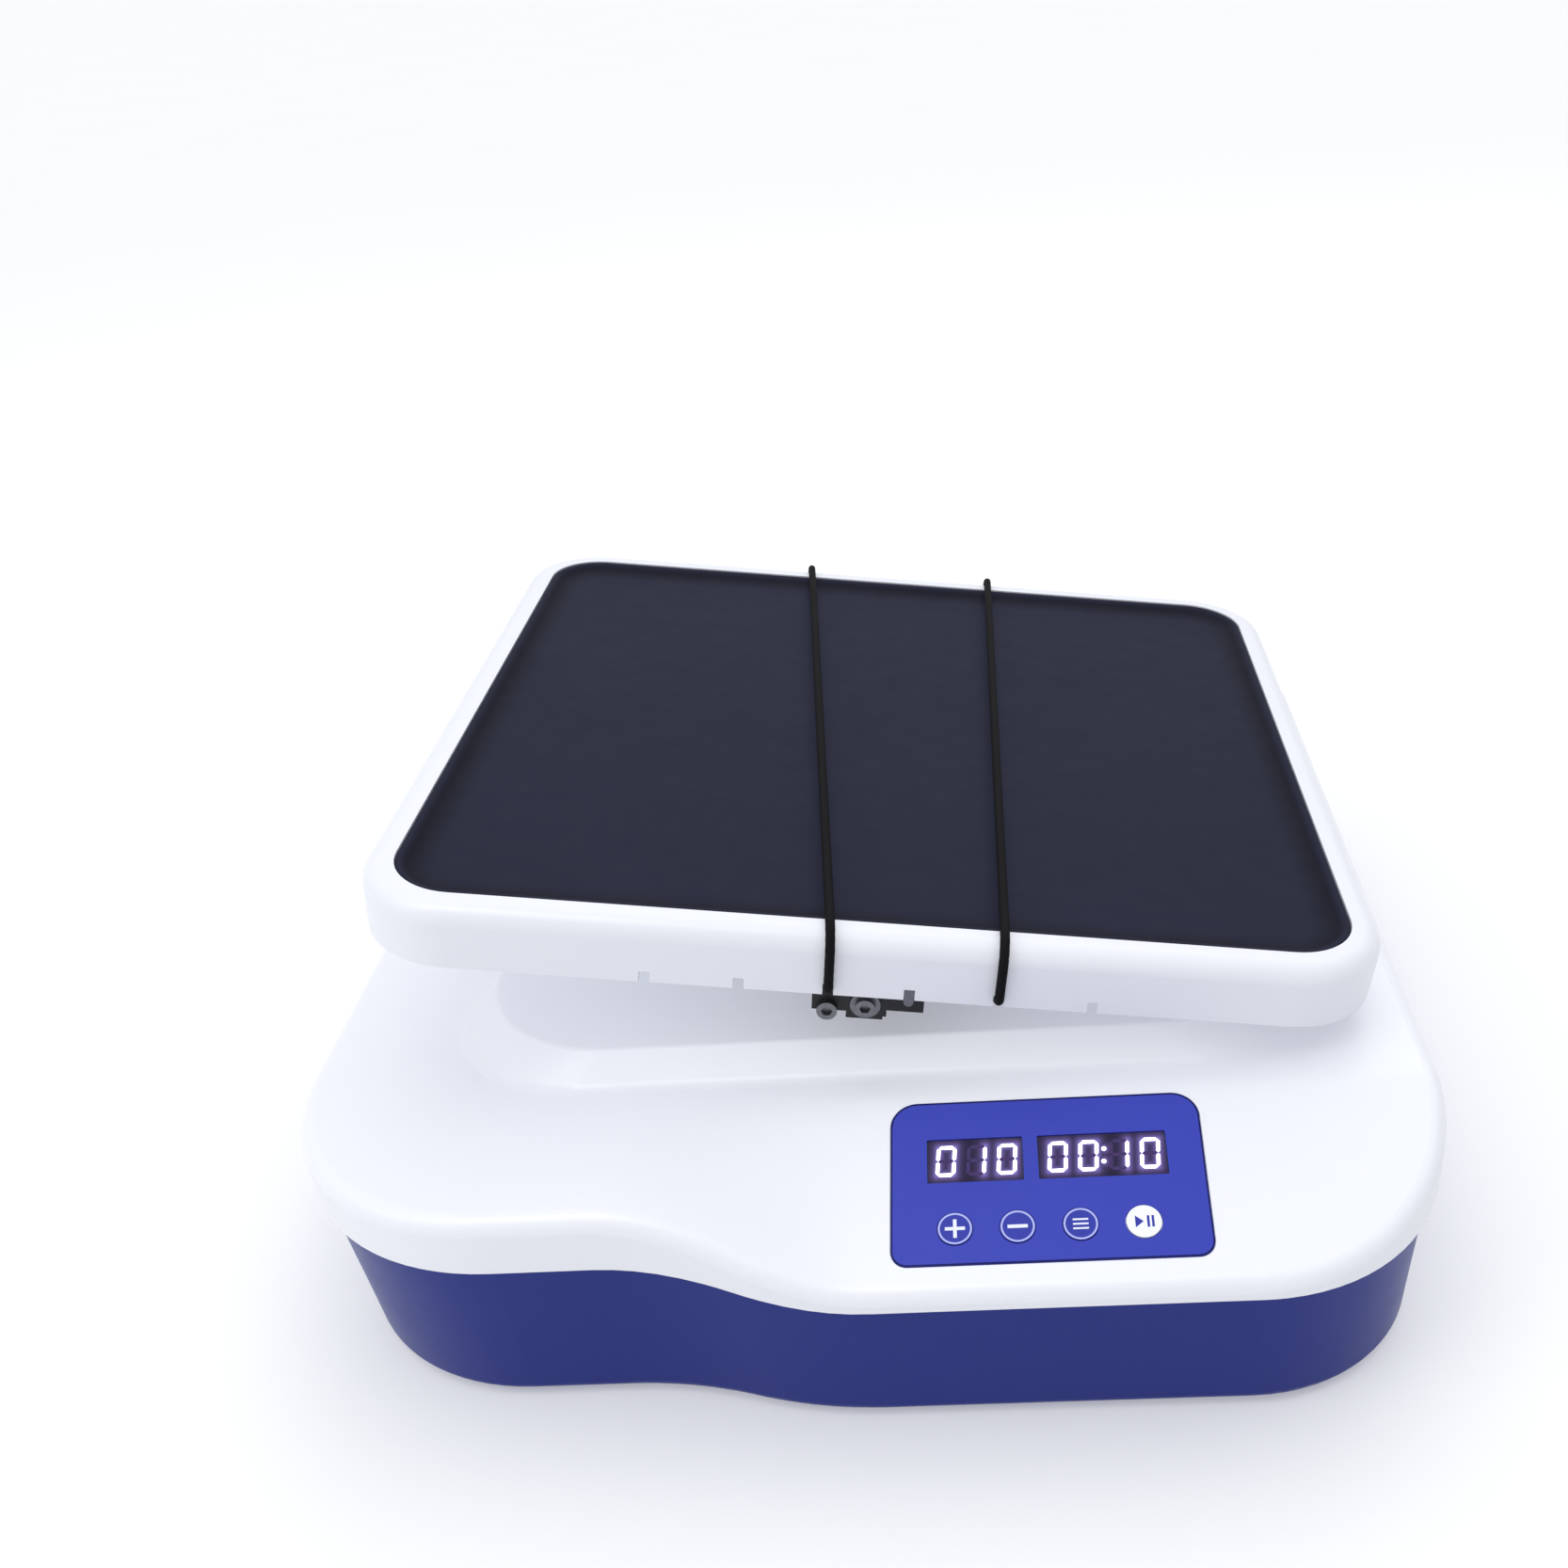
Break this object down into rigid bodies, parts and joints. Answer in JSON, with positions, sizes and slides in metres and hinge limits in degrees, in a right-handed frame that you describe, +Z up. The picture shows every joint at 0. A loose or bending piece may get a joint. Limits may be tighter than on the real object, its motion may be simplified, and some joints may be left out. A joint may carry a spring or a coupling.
{
  "type": "nutating platform shaker",
  "caption": "Bench-top nutating platform shaker: a tilted tray with a rubber mat and elastic straps over a blue and white drive housing with a digital console.",
  "frame": {"origin": "centre of the footprint, on the surface that the feet stand on", "axes": "+Z up, +Y to the back, the console at the front on the +X side; the tray leans down towards +X at rest"},
  "size_m": [0.478, 0.5, 0.2065],
  "materials": {
    "tub_blue": "satin moulded plastic, deep blue",
    "cover_white": "satin moulded plastic, white",
    "tray_white": "satin, cool white",
    "mat_navy": "matt ribless rubber sheet",
    "rubber_black": "matt",
    "cord_black": "covered elastic cord",
    "zinc_steel": "zinc-plated",
    "steel_dark": "ground",
    "bearing_steel": "polished",
    "aluminium_part": "machined",
    "black_paint": "black, satin",
    "panel_blue": "printed membrane",
    "display_dark": "tinted window",
    "key_face": "satin",
    "pcb_green": "solder mask",
    "black_plastic": "fine grain",
    "belt_rubber": "moulded teeth side",
    "copper_coil": "lacquered wire",
    "can_sleeve": "sleeve"
  },
  "bodies": {
    "base": {"lower_housing": "tub_blue", "top_cover": "cover_white", "rubber_feet": "rubber_black", "foot_screws": "zinc_steel", "cover_screws": "zinc_steel", "chassis_plate": "aluminium_part", "chassis_screws": "zinc_steel", "bearing_housing": "aluminium_part", "shaft_bearings": "bearing_steel", "timing_belt": "belt_rubber", "motor_body": "black_paint", "motor_bracket": "zinc_steel", "motor_screws": "zinc_steel", "guide_block": "aluminium_part", "speed_sensor": "black_plastic", "control_overlay": "panel_blue", "speed_display": "display_dark", "time_display": "display_dark", "display_board": "pcb_green", "board_screws": "zinc_steel", "key_switches": "black_plastic", "rear_panel": "zinc_steel", "power_inlet": "black_plastic", "inlet_pins": "zinc_steel", "switch_frame": "black_plastic", "power_board": "pcb_green", "heat_sink": "aluminium_part", "transformer": "copper_coil", "capacitors": "can_sleeve"},
    "crank": {"crank_shaft": "steel_dark", "driven_pulley": "steel_dark", "crank_block": "steel_dark", "seat_set_screw": "steel_dark", "tilt_spindle": "steel_dark", "spindle_washer": "zinc_steel", "spindle_screw": "zinc_steel"},
    "motor_rotor": {"motor_shaft": "steel_dark", "motor_pulley": "steel_dark"},
    "platform": {"guide_arm": "aluminium_part", "platform_hub": "aluminium_part", "spindle_bearings": "bearing_steel", "carrier_plate": "aluminium_part", "carrier_screws": "zinc_steel", "tray": "tray_white", "tray_mat": "mat_navy", "tray_screws": "zinc_steel", "front_bracket": "black_paint", "clamp_washer": "zinc_steel", "clamp_screw": "zinc_steel", "lock_screw": "zinc_steel", "notch_tab": "zinc_steel", "strap_left": "cord_black", "strap_right": "cord_black", "strap_stops": "black_plastic"},
    "roller": {"guide_roller": "black_plastic"},
    "rocker": {"power_rocker": "black_plastic"},
    "key_minus": {"key_minus": "key_face"},
    "key_plus": {"key_plus": "key_face"},
    "key_mode": {"key_mode": "key_face"},
    "key_start": {"key_start": "key_face"}
  },
  "joints": [
    {"name": "crank_spin", "type": "hinge", "parent": "base", "child": "crank", "pos_m": [0, 0.039, 0.075], "axis": [0, 0, 1], "continuous": true},
    {"name": "platform_spin", "type": "hinge", "parent": "crank", "child": "platform", "pos_m": [0, 0.039, 0.075], "axis": [0.1461, 0, 0.9893], "continuous": true},
    {"name": "motor_spin", "type": "hinge", "parent": "base", "child": "motor_rotor", "pos_m": [0.135, 0.039, 0.06], "axis": [0, 0, 1], "continuous": true},
    {"name": "roller_spin", "type": "hinge", "parent": "platform", "child": "roller", "pos_m": [0, -0.067, 0.075], "axis": [0, 1, 0], "continuous": true},
    {"name": "rocker_tip", "type": "hinge", "parent": "base", "child": "rocker", "pos_m": [-0.078, 0.2365, 0.042], "axis": [1, 0, 0], "range_deg": [0, 16]},
    {"name": "key_minus_press", "type": "slide", "parent": "base", "child": "key_minus", "axis": [0, 0.3387, -0.9409], "range_m": [0, 0.0005], "stiffness_N_per_m": 400},
    {"name": "key_plus_press", "type": "slide", "parent": "base", "child": "key_plus", "axis": [0, 0.3387, -0.9409], "range_m": [0, 0.0005], "stiffness_N_per_m": 400},
    {"name": "key_mode_press", "type": "slide", "parent": "base", "child": "key_mode", "axis": [0, 0.3387, -0.9409], "range_m": [0, 0.0005], "stiffness_N_per_m": 400},
    {"name": "key_start_press", "type": "slide", "parent": "base", "child": "key_start", "axis": [0, 0.3387, -0.9409], "range_m": [0, 0.0005], "stiffness_N_per_m": 400}
  ],
  "couplings": [
    {"joint": "platform_spin", "follows": "crank_spin", "ratio": -1},
    {"joint": "motor_spin", "follows": "crank_spin", "ratio": 3}
  ]
}
